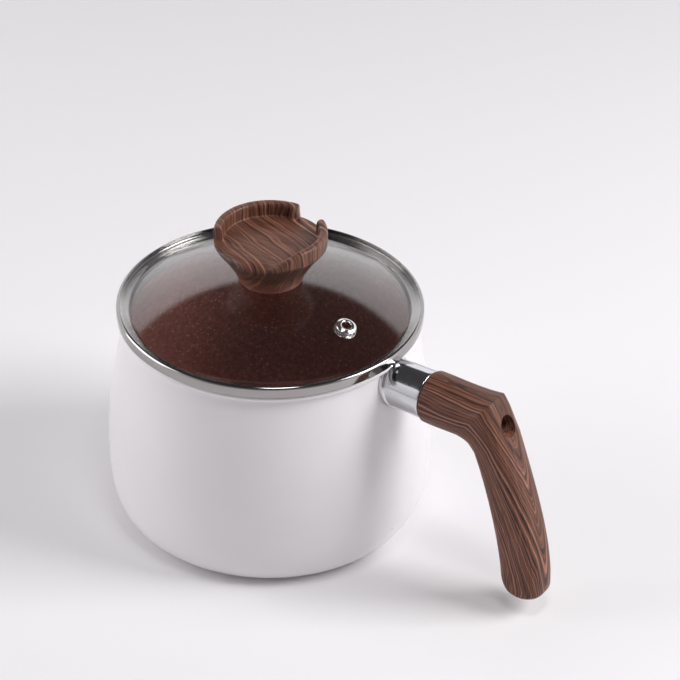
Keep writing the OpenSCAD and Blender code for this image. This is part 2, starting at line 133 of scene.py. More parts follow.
def looks():
    """The four groups of sizes and colours, as the scene holds them."""
    scene = bpy.context.scene
    return scene.pan_looks, scene.handle_looks, scene.lid_looks, scene.knob_looks


# ---------- shapes ----------

TURN_STEPS = 256
FINE_STEPS = 96
MERGE_GAP = 1e-6


def point(x, z):
    return Vector((x, z))


def ease(share):
    """Rises smoothly from 0 to 1."""
    share = min(1.0, max(0.0, share))
    return share * share * (3 - 2 * share)


def mixed(a, b, share):
    return a + (b - a) * share


def outline(corners, arc_steps=5, closed=True):
    """Points along an outline. A corner is (radius, height) or (radius, height, rounding)."""
    points = []
    count = len(corners)
    for i, corner in enumerate(corners):
        here = Vector(corner[:2])
        rounding = corner[2] if len(corner) > 2 else 0
        if rounding <= 0 or (not closed and i in (0, count - 1)):
            points.append(here)
            continue
        back = (Vector(corners[i - 1][:2]) - here).normalized()
        on = (Vector(corners[(i + 1) % count][:2]) - here).normalized()
        half = back.angle(on) / 2
        centre = here + (back + on).normalized() * rounding / math.sin(half)
        first = here + back * rounding / math.tan(half) - centre
        turn = (math.pi - 2 * half) * (1 if back.cross(on) < 0 else -1)
        for k in range(arc_steps + 1):
            points.append(centre + Matrix.Rotation(turn * k / arc_steps, 2) @ first)
    return points


def rounded_between(corners, arc_steps=5):
    """The rounded corners between the first and the last of a run of corners."""
    return outline(corners, arc_steps, closed=False)[1:-1]


def spun(points, steps=TURN_STEPS, closed=True):
    """A mesh turned round +Z from an outline of (radius, height) points."""
    bm = bmesh.new()
    verts = [bm.verts.new((x, 0, z)) for x, z in points]
    pairs = list(zip(verts, verts[1:]))
    if closed:
        pairs.append((verts[-1], verts[0]))
    edges = [bm.edges.new(pair) for pair in pairs]
    bmesh.ops.spin(bm, geom=verts + edges, cent=(0, 0, 0), axis=(0, 0, 1), angle=math.tau,
                   steps=steps, use_merge=True, use_duplicate=False)
    tidy(bm)
    return bm


def tidy(bm):
    """Merges doubles and turns every face outwards."""
    bmesh.ops.remove_doubles(bm, verts=bm.verts, dist=MERGE_GAP)
    bmesh.ops.dissolve_degenerate(bm, edges=bm.edges, dist=1e-7)
    bmesh.ops.recalc_face_normals(bm, faces=bm.faces)


def loose_object(bm, name):
    mesh = bpy.data.meshes.new(name)
    bm.to_mesh(mesh)
    bm.free()
    made = bpy.data.objects.new(name, mesh)
    bpy.context.scene.collection.objects.link(made)
    return made


def finished(made, body, slot, finish, *nodes, sharp=38):
    """Gives a piece its finish and its body, and hides the CAD nodes that it stands for."""
    made.data.materials.clear()
    made.data.materials.append(finish)
    made.data.shade_smooth()
    made.data.set_sharp_from_angle(angle=math.radians(sharp))
    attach(made, body)
    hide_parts(*nodes)
    return made


def cut(made, cutter):
    """Takes the cutter's shape out of a piece, and removes the cutter."""
    tool = made.modifiers.new("cut", "BOOLEAN")
    tool.operation = "DIFFERENCE"
    tool.solver = "EXACT"
    tool.object = cutter
    graph = bpy.context.evaluated_depsgraph_get()
    result = bpy.data.meshes.new_from_object(made.evaluated_get(graph))
    made.modifiers.clear()
    bpy.data.objects.remove(cutter)
    bm = bmesh.new()
    bm.from_mesh(result)
    bmesh.ops.dissolve_degenerate(bm, edges=bm.edges, dist=2e-7)
    bm.to_mesh(result)
    bm.free()
    made.data = result


def refinish(node, finish):
    """Gives a CAD node that stays in view a better finish."""
    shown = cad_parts[node]
    if not shown.material_slots:
        shown.data.materials.append(finish)
    for slot in shown.material_slots:
        slot.material = finish


# ---------- finishes ----------

def scaled(shade, factor):
    """A colour made darker or paler by a factor."""
    return tuple(c * factor for c in shade)


class Finish:
    """A material's node tree, with short calls for what the finishes share."""

    def __init__(self, name):
        self.material = bpy.data.materials.new(name)
        self.material.use_nodes = True
        self.tree = self.material.node_tree
        self.shader = self.tree.nodes["Principled BSDF"]

    def node(self, kind, inputs=None, **settings):
        made = self.tree.nodes.new(kind)
        for key, value in settings.items():
            setattr(made, key, value)
        for key, value in (inputs or {}).items():
            self.feed(value, made.inputs[key])
        return made

    def feed(self, value, socket):
        """Sets a socket to a constant, or links an output to it."""
        if isinstance(value, bpy.types.NodeSocket):
            self.tree.links.new(value, socket)
        else:
            socket.default_value = value

    def set(self, **inputs):
        for key, value in inputs.items():
            self.feed(value, self.shader.inputs[key.replace("_", " ")])

    def place(self, scale=(1, 1, 1), turn=(0, 0, 0), source=None):
        source = source or self.node("ShaderNodeTexCoord").outputs["Object"]
        return self.node("ShaderNodeMapping", {"Vector": source, "Scale": scale,
                                               "Rotation": turn}).outputs["Vector"]

    def noise(self, vector, scale, detail, roughness=0.5):
        return self.node("ShaderNodeTexNoise", {"Vector": vector, "Scale": scale, "Detail": detail,
                                                "Roughness": roughness}).outputs["Fac"]

    def band_noise(self, value, scale, detail, roughness):
        return self.node("ShaderNodeTexNoise", {"W": value, "Scale": scale, "Detail": detail,
                                                "Roughness": roughness},
                         noise_dimensions="1D").outputs["Fac"]

    def cells(self, vector, scale):
        return self.node("ShaderNodeTexVoronoi", {"Vector": vector, "Scale": scale}).outputs

    def math(self, operation, a, b=0.0, c=0.0):
        made = self.node("ShaderNodeMath", operation=operation)
        for value, socket in zip((a, b, c), made.inputs):
            self.feed(value, socket)
        return made.outputs["Value"]

    def span(self, value, low, high, to_low=0.0, to_high=1.0):
        """Maps low..high to to_low..to_high, and holds the ends."""
        return self.node("ShaderNodeMapRange", {
            "Value": value, "From Min": low, "From Max": high, "To Min": to_low,
            "To Max": to_high}).outputs["Result"]

    def mix(self, share, a, b):
        made = self.node("ShaderNodeMix", data_type="RGBA", blend_type="MIX", clamp_factor=True)
        self.feed(share, made.inputs["Factor"])
        for value, socket in ((a, made.inputs[6]), (b, made.inputs[7])):
            self.feed(value if isinstance(value, bpy.types.NodeSocket) else (*value, 1), socket)
        return made.outputs[2]

    def clouded(self, value, low, high, shade, factor):
        """A shade that is scaled by factor where value rises from low to high."""
        return self.mix(self.span(value, low, high), tuple(shade), scaled(shade, factor))

    def shades(self, value, *stops):
        """Colour ramp through (position, colour) stops."""
        made = self.node("ShaderNodeValToRGB", {"Fac": value})
        ramp = made.color_ramp
        for i, (position, shade) in enumerate(stops):
            stop = ramp.elements[i] if i < 2 else ramp.elements.new(position)
            stop.position = position
            stop.color = (*shade, 1)
        return made.outputs["Color"]

    def bump(self, height, distance, strength, under=None):
        made = self.node("ShaderNodeBump", {"Height": height, "Distance": distance,
                                            "Strength": strength})
        if under is not None:
            self.feed(under, made.inputs["Normal"])
        return made.outputs["Normal"]


def enamel_finish(pan):
    """Satin white enamel over cast aluminium, with a faint orange peel."""
    fin = Finish("pan_enamel")
    at = fin.place()
    cloud = fin.noise(at, 14, 2)
    peel = fin.noise(at, 420, 1)
    fin.set(Base_Color=fin.clouded(cloud, 0.35, 0.65, pan.enamel, 0.965),
            Roughness=fin.math("MULTIPLY_ADD", fin.noise(at, 60, 2), 0.12, 0.25),
            IOR=1.5, Coat_Weight=0.35, Coat_Roughness=0.12,
            Normal=fin.bump(fin.math("MULTIPLY_ADD", peel, 0.05, cloud), 0.0001, 0.3))
    return fin.material


def coating_finish(pan):
    """Red-brown non-stick coating with pale stone flecks."""
    fin = Finish("stone_coat")
    at = fin.place()
    flecks = fin.cells(at, 520)
    dust = fin.cells(at, 1150)
    chosen = fin.span(flecks["Color"], 0.52, 0.60)
    patch = fin.span(fin.noise(at, 40, 3), 0.30, 0.70, 0.35, 1.0)
    big = fin.math("MULTIPLY", fin.span(flecks["Distance"], 0.12, 0.30, 1, 0), chosen)
    big = fin.math("MULTIPLY", big, patch)
    small = fin.math("MULTIPLY", fin.span(dust["Distance"], 0.16, 0.34, 1, 0),
                     fin.span(dust["Color"], 0.55, 0.7))
    ground = fin.mix(fin.span(fin.noise(at, 420, 4), 0.35, 0.65), scaled(pan.stone, 0.72),
                     scaled(pan.stone, 1.28))
    speckled = fin.mix(fin.math("MULTIPLY", small, 0.40), ground, scaled(pan.fleck, 0.6))
    speckled = fin.mix(fin.math("MULTIPLY", big, 0.75), speckled, tuple(pan.fleck))
    height = fin.math("ADD", fin.noise(at, 1500, 2), big)
    fin.set(Base_Color=speckled, Roughness=fin.span(fin.noise(at, 300, 3), 0.3, 0.7, 0.34, 0.5),
            IOR=1.45, Normal=fin.bump(height, 0.00008, 0.5))
    return fin.material


def metal_finish(name, shade, rough, lathe=(30, 30, 3000), grain=0.00002, tarnish=0.06, wave=0.0):
    """Metal with fine lathe or brush lines and a little roughness variation."""
    fin = Finish(name)
    at = fin.place()
    lines = fin.noise(fin.place(scale=lathe), 1.0, 4, 0.6)
    smear = fin.noise(at, 35, 4, 0.6)
    fin.set(Base_Color=fin.clouded(smear, 0.35, 0.7, shade, 1 - tarnish),
            Metallic=1.0,
            Roughness=fin.math("MULTIPLY_ADD", fin.span(smear, 0.3, 0.75), rough * 0.5,
                               fin.span(lines, 0.3, 0.7, rough * 0.75, rough * 1.15)))
    normal = fin.bump(lines, grain, 0.5)
    if wave:
        normal = fin.bump(fin.noise(at, 70, 1), wave, 0.6, normal)
    fin.set(Normal=normal)
    return fin.material


def turned_finish(name, shade, rough):
    """Steel faced on a lathe, with rings round the axis."""
    fin = Finish(name)
    parts = fin.node("ShaderNodeSeparateXYZ", {"Vector": fin.place()}).outputs
    squares = [fin.math("MULTIPLY", parts[axis], parts[axis]) for axis in "XY"]
    radius = fin.math("SQRT", fin.math("ADD", *squares))
    rings = fin.band_noise(radius, 2600, 3, 0.7)
    marks = fin.noise(fin.place(scale=(40, 900, 40), turn=(0, 0, 0.6)), 1, 4, 0.6)
    fin.set(Base_Color=fin.clouded(marks, 0.55, 0.8, shade, 0.8),
            Metallic=1.0, Roughness=fin.span(rings, 0.3, 0.7, rough * 0.8, rough * 1.3),
            Normal=fin.bump(rings, 0.00006, 0.6))
    return fin.material


def soft_finish(name, shade, rough=0.5, clear=0.0):
    """Moulded silicone or rubber, slightly cloudy, with a fine texture."""
    fin = Finish(name)
    at = fin.place()
    fin.set(Base_Color=fin.clouded(fin.noise(at, 160, 3), 0.35, 0.65, shade, 0.86),
            Roughness=fin.span(fin.noise(at, 240, 3), 0.3, 0.7, rough - 0.06, rough + 0.08),
            IOR=1.41, Transmission_Weight=clear,
            Normal=fin.bump(fin.noise(at, 1400, 2), 0.00005, 0.4))
    return fin.material


def glass_finish(lid):
    """Clear tempered glass. Lamps shine through it instead of casting its shadow."""
    fin = Finish("tempered_glass")
    fin.set(Base_Color=(*lid.tint, 1), Roughness=0.0, IOR=1.5, Transmission_Weight=1.0,
            Normal=fin.bump(fin.noise(fin.place(), 9, 2), 0.00004, 0.4))
    path = fin.node("ShaderNodeLightPath")
    through = fin.node("ShaderNodeBsdfTransparent", {"Color": (0.90, 0.915, 0.91, 1)})
    mixer = fin.node("ShaderNodeMixShader", {0: path.outputs["Is Shadow Ray"],
                                             1: fin.shader.outputs["BSDF"],
                                             2: through.outputs["BSDF"]})
    fin.feed(mixer.outputs["Shader"], fin.tree.nodes["Material Output"].inputs["Surface"])
    return fin.material


def wood_shades(fin, handle, lines, fibres, tone):
    """Colour of the printed wood grain from its line, fibre and tone patterns."""
    dark, mid, pale = tuple(handle.dark_wood), tuple(handle.mid_wood), tuple(handle.pale_wood)
    between = tuple(mixed(a, b, 0.5) for a, b in zip(dark, mid))
    grain = fin.shades(lines, (0.37, dark), (0.45, between), (0.53, mid), (0.68, pale))
    streaked = fin.mix(fin.span(fibres, 0.52, 0.70, 0, 0.60), grain, dark)
    streaked = fin.mix(fin.span(fibres, 0.47, 0.30, 0, 0.35), streaked, pale)
    return fin.mix(fin.span(tone, 0.52, 0.72, 0, 0.45), streaked, (0.060, 0.026, 0.017))


ARCH_START = 0.042


def grip_finish(handle):
    """Wood grain along the grip: long lines on its sides, nested arches on its outer face."""
    fin = Finish("grip_woodgrain")
    grain = fin.node("ShaderNodeAttribute", attribute_name="grain").outputs["Vector"]
    parts = fin.node("ShaderNodeSeparateXYZ", {"Vector": grain}).outputs
    turn = fin.math("ABSOLUTE", fin.math("ARCTAN2", parts["X"], parts["Y"]))
    girth = fin.math("SQRT", fin.math("MULTIPLY_ADD", turn, turn, 0.22))
    ring = fin.math("MULTIPLY", girth, fin.math("MULTIPLY_ADD", girth, 0.0036, 0.0062))
    run = fin.math("MAXIMUM", fin.math("SUBTRACT", parts["Z"], ARCH_START), 0.0)
    ring = fin.math("MULTIPLY_ADD", run, 0.17, ring)
    warp = fin.noise(fin.place(scale=(75, 75, 22), source=grain), 1.0, 2)
    ring = fin.math("MULTIPLY_ADD", fin.math("SUBTRACT", warp, 0.5), 0.0052, ring)
    lines = fin.band_noise(ring, 760, 4.0, 0.68)
    fibres = fin.noise(fin.place(scale=(1700, 1700, 70), source=grain), 1.0, 3, 0.6)
    tone = fin.noise(fin.place(scale=(110, 110, 16), source=grain), 1.0, 2)
    fin.set(Base_Color=wood_shades(fin, handle, lines, fibres, tone),
            Roughness=fin.span(fibres, 0.3, 0.7, 0.38, 0.52), IOR=1.45, Specular_IOR_Level=0.35,
            Normal=fin.bump(fibres, 0.00010, 0.35, fin.bump(lines, 0.00016, 0.35)))
    return fin.material


KNOB_HEADING = (0, 0, math.radians(20))


def knob_finish(handle, foot_z):
    """Wood grain in upright planes across the knob, redder and smoother at its foot, with painted shade
    darkening its cone.
    """
    fin = Finish("knob_woodgrain")
    turned = fin.place(turn=KNOB_HEADING)
    parts = fin.node("ShaderNodeSeparateXYZ", {"Vector": turned}).outputs
    up = parts["Z"]
    warp = fin.noise(fin.place(scale=(24, 75, 30), turn=KNOB_HEADING), 1.0, 2)
    plane = fin.math("MULTIPLY_ADD", fin.math("SUBTRACT", warp, 0.5), 0.008, parts["Y"])
    lines = fin.band_noise(plane, 560, 4.0, 0.68)
    fibres = fin.noise(fin.place(scale=(60, 1700, 60), turn=KNOB_HEADING), 1.0, 3, 0.6)
    tone = fin.noise(turned, 60, 2)
    wood = wood_shades(fin, handle, lines, fibres, tone)
    # Painted shade: the cone below the dish goes up to halfway to the dark grain colour over its middle
    # height
    cone = fin.math("MULTIPLY", fin.span(up, foot_z + 0.006, foot_z + 0.010),
                    fin.span(up, foot_z + 0.018, foot_z + 0.0215, 0.50, 0.0))
    foot = fin.span(up, foot_z + 0.001, foot_z + 0.008, 0.65, 0.0)
    wood_under_painted_shade = fin.mix(cone, wood, tuple(handle.dark_wood))
    fin.set(Base_Color=fin.mix(foot, wood_under_painted_shade, (0.17, 0.055, 0.038)),
            Roughness=fin.span(fibres, 0.3, 0.7, 0.34, 0.48), IOR=1.45, Specular_IOR_Level=0.4,
            Normal=fin.bump(fibres, 0.00010, 0.35, fin.bump(lines, 0.00018, 0.4)))
    return fin.material


# ---------- pan ----------

CURVE_STEPS = 26
LOW_POWER = 3.25
HIGH_POWER = 1.41


class PanCurve:
    """The pan's side view, from the base out to the belly and in to the neck."""

    def __init__(self, pan):
        self.pan = pan
        self.rim_z = LINING_BOX[1].z
        self.lip_top = self.rim_z - pan.coat
        self.neck_z = self.lip_top - 2 * pan.lip_edge

    def radius(self, z):
        """Outside radius at a height from the belly up."""
        share = min(1.0, max(0.0, (z - self.pan.belly_z) / (self.neck_z - self.pan.belly_z)))
        return self.pan.belly_r - (self.pan.belly_r - self.pan.neck_r) * share ** HIGH_POWER

    def side(self, base_r, base_z, inset):
        """Points up the side, moved in from the outside by inset."""
        pan = self.pan
        points = []
        for i in range(CURVE_STEPS + 1):
            turn = math.pi / 2 * i / CURVE_STEPS
            out = math.sin(turn) ** (2 / LOW_POWER)
            up = 1 - abs(math.cos(turn)) ** (2 / LOW_POWER)
            points.append(point(mixed(base_r, pan.belly_r - inset, out),
                                mixed(base_z, pan.belly_z, up)))
        for i in range(1, CURVE_STEPS + 1):
            z = mixed(pan.belly_z, self.neck_z, i / CURVE_STEPS)
            points.append(point(self.radius(z) - inset, z))
        return points


class SAUCEPAN_OT_pan_shell(bpy.types.Operator):
    """Turns the enamelled pan with its rolled lip"""
    bl_idname = "saucepan.pan_shell"
    bl_label = "Pan shell"

    def execute(self, context):
        pan = looks()[0]
        curve = PanCurve(pan)
        recess_r = PLATE_BOX[1].x + 0.0001
        recess_z = PLATE_BOX[1].z
        lip_r = pan.neck_r + pan.lip_out - pan.lip_edge
        outside = outline([(0, recess_z), (recess_r, recess_z), (recess_r, 0, 0.0004),
                           (pan.base_r, 0)], closed=False)
        middle = point(lip_r, curve.neck_z + pan.lip_edge)
        lip = [middle + pan.lip_edge * point(math.cos(a), math.sin(a))
               for a in (math.pi * (i / 12 - 0.5) for i in range(13))]
        neck = curve.side(pan.base_r, 0, 0)[1:-1]
        under_lip = rounded_between([neck[-1], (pan.neck_r, curve.neck_z, 0.0007), lip[0]])
        inside = curve.side(pan.base_r - 2 * pan.wall, pan.floor, pan.wall)
        points = outside + neck + under_lip + lip + [point(pan.neck_r - pan.wall, curve.lip_top)]
        points += inside[::-1] + [point(0, pan.floor)]
        shell = loose_object(spun(points, closed=False), "pan_shell")
        finished(shell, "pan", "pan_enamel", enamel_finish(pan), "pot_body", sharp=50)
        return {"FINISHED"}


class SAUCEPAN_OT_lining(bpy.types.Operator):
    """Turns the non-stick coating that lines the pan and covers its lip"""
    bl_idname = "saucepan.lining"
    bl_label = "Non-stick lining"

    def execute(self, context):
        pan = looks()[0]
        curve = PanCurve(pan)
        inner_base = pan.base_r - 2 * pan.wall
        back = curve.side(inner_base, pan.floor, pan.wall)
        face = curve.side(inner_base - pan.coat, pan.floor + pan.coat, pan.wall + pan.coat)
        lip_r = pan.neck_r + pan.lip_out - pan.lip_edge
        mouth_r = pan.neck_r - pan.wall - pan.coat
        over = rounded_between([back[-1], (mouth_r + pan.coat, curve.lip_top), (lip_r, curve.lip_top),
                                (lip_r, curve.rim_z, 0.0003), (mouth_r, curve.rim_z, 0.0008), face[-1]])
        points = [point(0, pan.floor), *back, *over, *face[::-1], point(0, pan.floor + pan.coat)]
        lining = loose_object(spun(points, closed=False), "stone_lining")
        finished(lining, "pan", "stone_coat", coating_finish(pan), "nonstick_lining", sharp=50)
        return {"FINISHED"}


class SAUCEPAN_OT_base_plate(bpy.types.Operator):
    """Turns the bonded steel plate under the pan, with shallow rings in its face"""
    bl_idname = "saucepan.base_plate"
    bl_label = "Induction plate"

    def execute(self, context):
        plate_r, plate_t = PLATE_BOX[1].x, PLATE_BOX[1].z
        groove_w, groove_d, slope, rounding, pitch = 0.0008, 0.0003, 0.0002, 0.0001, 0.0095
        corners = [(0, 0)]
        for i in range(1, 6):
            r = i * pitch
            corners += [(r, 0, rounding), (r + slope, groove_d, rounding),
                        (r + groove_w, groove_d, rounding), (r + groove_w + slope, 0, rounding)]
        corners += [(plate_r, 0, 0.0003), (plate_r, plate_t), (0, plate_t)]
        plate = loose_object(spun(outline(corners, 2, closed=False), closed=False), "induction_disc")
        finished(plate, "pan", "base_steel", turned_finish("base_steel", (0.58, 0.57, 0.56), 0.30),
                 "induction_plate")
        return {"FINISHED"}


# ---------- handle ----------

class SAUCEPAN_OT_ferrule(bpy.types.Operator):
    """Turns the polished ferrule and shapes its rolled lip to the pan's wall"""
    bl_idname = "saucepan.ferrule"
    bl_label = "Ferrule"

    def execute(self, context):
        pan, handle = looks()[:2]
        curve = PanCurve(pan)
        wall_x = curve.radius(handle.arm_z)
        tube_len = SEAL_BOX[0].x - wall_x
        bore_r = handle.ferrule_r0 - handle.ferrule_wall
        lip_r, lip_t = handle.ferrule_r0 + 0.0009, 0.0024
        corners = [(bore_r, 0), (lip_r, 0, 0.0003), (lip_r, lip_t, 0.0010),
                   (handle.ferrule_r0 + 0.0001, lip_t + 0.0006, 0.0006),
                   (mixed(handle.ferrule_r0, handle.ferrule_r1, 0.5), tube_len / 2),
                   (handle.ferrule_r1, tube_len, 0.0006), (bore_r, tube_len, 0.0002)]
        bm = spun(outline(corners, 6), FINE_STEPS * 2)
        cuts = [e for e in bm.edges if abs(e.verts[0].co.z - e.verts[1].co.z) > 0.004]
        bmesh.ops.subdivide_edges(bm, edges=cuts, cuts=6, use_grid_fill=True)
        for vert in bm.verts:
            y, up, along = vert.co
            z = handle.arm_z + up
            follow = 1 - ease((along - lip_t) / (tube_len - lip_t))
            wall = math.sqrt(curve.radius(z) ** 2 - y * y)
            vert.co = (along + mixed(wall_x, wall, follow), y, z)
        bmesh.ops.recalc_face_normals(bm, faces=bm.faces)
        ferrule = loose_object(bm, "ferrule_cap")
        finish = metal_finish("polished_metal", (0.66, 0.66, 0.68), 0.10, lathe=(900, 12, 12),
                              grain=0.00001, wave=0.0003)
        finished(ferrule, "pan", "polished_metal", finish, "ferrule")
        return {"FINISHED"}


# Control points of the grip's outer and inner edges in metres, from the grip's start on the
# arm's axis, as four stretches: arm, elbow, lower grip and tip
GRIP_T = 0.0198
RIDGE = Vector((0.0403, 0.0141))
SHOULDER = RIDGE + Vector((0.0116, -0.0205))
TIP_OUT = Vector((0.0782, -0.0968))
ARM_LOW = Vector((0.021, -0.0127))
CROOK = SHOULDER + Vector((-GRIP_T, -0.0114))
TIP_IN = Vector((0.0522, -0.0879))
TIP_END = Vector((0.0638, -0.1012))
GRIP_SQUARE = (2, 2.9, 2.8, 2.9)
GRIP_HALF_W = (0.0145, 0.0138, 0.0135, 0.0116)
SWEEP_STEPS = 26
SPIGOT_LEN = 0.0065
ACCESS_R = 0.0057


def grip_edges(arm_r):
    """The outer and inner edge of each stretch of the grip, as Bezier control points."""
    outer = [
        [point(0, arm_r), point(0.013, arm_r - 0.0003), RIDGE - point(0.015, 0.0024), RIDGE],
        [RIDGE, RIDGE + point(0.0049, -0.0065), SHOULDER + point(-0.0051, 0.0089), SHOULDER],
        [SHOULDER, SHOULDER + point(0.0057, -0.0155), TIP_OUT + point(0, 0.031), TIP_OUT],
        [TIP_OUT, TIP_OUT + point(0, -0.006), TIP_END + point(0.0052, 0), TIP_END + point(0.0005, 0)],
    ]
    inner = [
        [point(0, -arm_r), point(0.007, -arm_r), ARM_LOW - point(0.006, 0), ARM_LOW],
        [ARM_LOW, ARM_LOW + point(0.0075, -0.0009), CROOK + point(-0.0043, 0.0044), CROOK],
        [CROOK, CROOK + point(0.0092, -0.0203), TIP_IN + point(-0.0023, 0.0166), TIP_IN],
        [TIP_IN, TIP_IN + point(0.0006, -0.008), TIP_END + point(-0.006, 0.0004),
         TIP_END - point(0.0005, 0)],
    ]
    return outer, inner


def bezier(p, t):
    s = 1 - t
    return p[0] * s ** 3 + p[1] * 3 * s * s * t + p[2] * 3 * s * t * t + p[3] * t ** 3


def grip_stations(arm_r, spigot_r, spigot_len):
    """Sections along the grip, as (outer point, inner point, half width, squareness)."""
    def round_section(x, r):
        return point(x, r), point(x, -r), r, 2.0

    edge, chamfer = 0.0011, 0.0006
    stations = [round_section(-spigot_len, spigot_r - chamfer),
                round_section(-spigot_len + chamfer, spigot_r), round_section(-0.00001, spigot_r)]
    outer, inner = grip_edges(arm_r)
    for k in range(4):
        for i in range(SWEEP_STEPS + (k == 3)):
            t = i / SWEEP_STEPS
            if k < 3:
                half_w = mixed(GRIP_HALF_W[k], GRIP_HALF_W[k + 1], t)
                square = mixed(GRIP_SQUARE[k], GRIP_SQUARE[k + 1], t)
            else:
                half_w = GRIP_HALF_W[3] * math.sqrt(max(0.004, 1 - t ** 4))
                square = GRIP_SQUARE[3]
            if k == 0 and i == 0:
                for a in range(6):
                    turn = math.pi / 2 * a / 5
                    stations.append(round_section(edge * (1 - math.cos(turn)),
                                                  arm_r - edge * (1 - math.sin(turn))))
                continue
            stations.append((bezier(outer[k], t), bezier(inner[k], t), half_w, square))
    return stations


def swept_grip(handle, stations, start_x, start_z):
    """Wraps a sheet of squares round the stations, and notes where the grain runs."""
    rings = len(stations) - 1
    bm = bmesh.new()
    bmesh.ops.create_grid(bm, x_segments=handle.ring_points, y_segments=rings, size=0.5)
    middles = [(s[0] + s[1]) / 2 for s in stations]
    runs = [0.0]
    for a, b in zip(middles, middles[1:]):
        runs.append(runs[-1] + (b - a).length)
    grain = bm.verts.layers.float_vector.new("grain")
    for vert in bm.verts:
        turn = math.tau * (vert.co.x + 0.5)
        row = round((vert.co.y + 0.5) * rings)
        outer, inner, half_w, square = stations[row]
        c, s = (math.copysign(abs(v) ** (2 / square), v) for v in (math.cos(turn), math.sin(turn)))
        spot = middles[row] + (outer - inner) / 2 * c
        vert.co = (start_x + spot.x, half_w * s, start_z + spot.y)
        vert[grain] = (GRIP_HALF_W[2] * s, GRIP_T / 2 * c, runs[row])
    bmesh.ops.remove_doubles(bm, verts=bm.verts, dist=MERGE_GAP)
    bmesh.ops.holes_fill(bm, edges=[e for e in bm.edges if e.is_boundary], sides=0)
    bmesh.ops.recalc_face_normals(bm, faces=bm.faces)
    return bm


def grain_on_cuts(mesh, source):
    """Carries the grain onto the walls of cut holes from the nearest outer point."""
    tree = KDTree(len(source))
    for i, (place, _) in enumerate(source):
        tree.insert(place, i)
    tree.balance()
    values = mesh.attributes["grain"].data
    for vert in mesh.vertices:
        _, i, gap = tree.find(vert.co)
        if gap > 1e-5:
            values[vert.index].vector = source[i][1]


class SAUCEPAN_OT_grip(bpy.types.Operator):
    """Sweeps the bent grip and cuts its screw bore and access hole"""
    bl_idname = "saucepan.grip"
    bl_label = "Grip"

    def execute(self, context):
        handle = looks()[1]
        spigot_r = handle.ferrule_r0 - handle.ferrule_wall - 0.0001
        stations = grip_stations(handle.arm_r, spigot_r, SPIGOT_LEN)
        bm = swept_grip(handle, stations, SEAL_BOX[1].x, handle.arm_z)
        layer = bm.verts.layers.float_vector["grain"]
        source = [(v.co.copy(), v[layer].copy()) for v in bm.verts]
        grip = loose_object(bm, "wood_grip")
        cut(grip, self.bore(handle))
        grain_on_cuts(grip.data, source)
        self.soften_mouth(grip, handle)
        finished(grip, "pan", "grip_woodgrain", grip_finish(handle), "handle_grip", sharp=50)
        return {"FINISHED"}

    def bore(self, handle):
        """The stepped cutter of the screw's bore and of the wide access hole."""
        seat_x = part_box("handle_flat_washer")[0].x
        bore_r, from_x, to_x = 0.0029, 0.09, 0.20
        bm = spun([(0, from_x), (bore_r, from_x), (bore_r, seat_x), (ACCESS_R, seat_x),
                   (ACCESS_R, to_x), (0, to_x)], FINE_STEPS, closed=False)
        place = Matrix.Translation((0, 0, handle.arm_z)) @ Matrix.Rotation(math.pi / 2, 4, "Y")
        bmesh.ops.transform(bm, matrix=place, verts=bm.verts)
        return loose_object(bm, "bore_cutter")

    def soften_mouth(self, grip, handle):
        """Rounds the sharp edge where the access hole meets the outer face."""
        bm = bmesh.new()
        bm.from_mesh(grip.data)
        mouth_x, near, sharp, rounding = SCREW_BOX[1].x + 0.004, 2e-5, math.radians(40), 0.0007
        edges = []
        for e in bm.edges:
            on_hole = all(abs(math.hypot(v.co.y, v.co.z - handle.arm_z) - ACCESS_R) < near
                          and v.co.x > mouth_x for v in e.verts)
            if on_hole and len(e.link_faces) == 2 and e.calc_face_angle(0) > sharp:
                edges.append(e)
        bmesh.ops.bevel(bm, geom=edges, offset=rounding, offset_type="OFFSET", affect="EDGES",
                        segments=4, profile=0.5, material=-1, clamp_overlap=True)
        bm.to_mesh(grip.data)
        bm.free()


# ---------- lid ----------

HUB_R = 0.005
VENT_BORE = 0.0039
VENT_HEADING = math.radians(-7)


class Dome:
    """The glass's round top: the ball that it is part of, and heights on its two faces."""

    def __init__(self, lid):
        self.flat_z = GLASS_BOX[0].z + lid.glass_t
        self.glass_r = GLASS_BOX[1].x
        self.edge_r = self.glass_r - lid.flat_w
        # The glass is tallest at the rim of its centre hole
        self.ball_r, self.ball_z = self.through(self.edge_r, self.flat_z, HUB_R, GLASS_BOX[1].z)

    @staticmethod
    def through(r0, z0, r1, z1):
        """Radius and centre height of the ball through two (radius, height) points."""
        centre = (r0 * r0 + z0 * z0 - r1 * r1 - z1 * z1) / (2 * (z0 - z1))
        return math.hypot(r0, z0 - centre), centre

    def height(self, r, under=0.0):
        return self.ball_z + math.sqrt((self.ball_r - under) ** 2 - r * r)

    def arc(self, r0, r1, under=0.0, steps=40):
        radii = (mixed(r0, r1, i / steps) for i in range(steps + 1))
        return [point(r, self.height(r, under)) for r in radii]


def vent_place(lid, dome):
    """Matrix that sets a shape built on +Z from the dome's centre onto the vent's axis."""
    tilt = math.asin(lid.vent_x / dome.ball_r)
    return (Matrix.Translation((0, 0, dome.ball_z)) @ Matrix.Rotation(VENT_HEADING, 4, "Z")
            @ Matrix.Rotation(tilt, 4, "Y"))


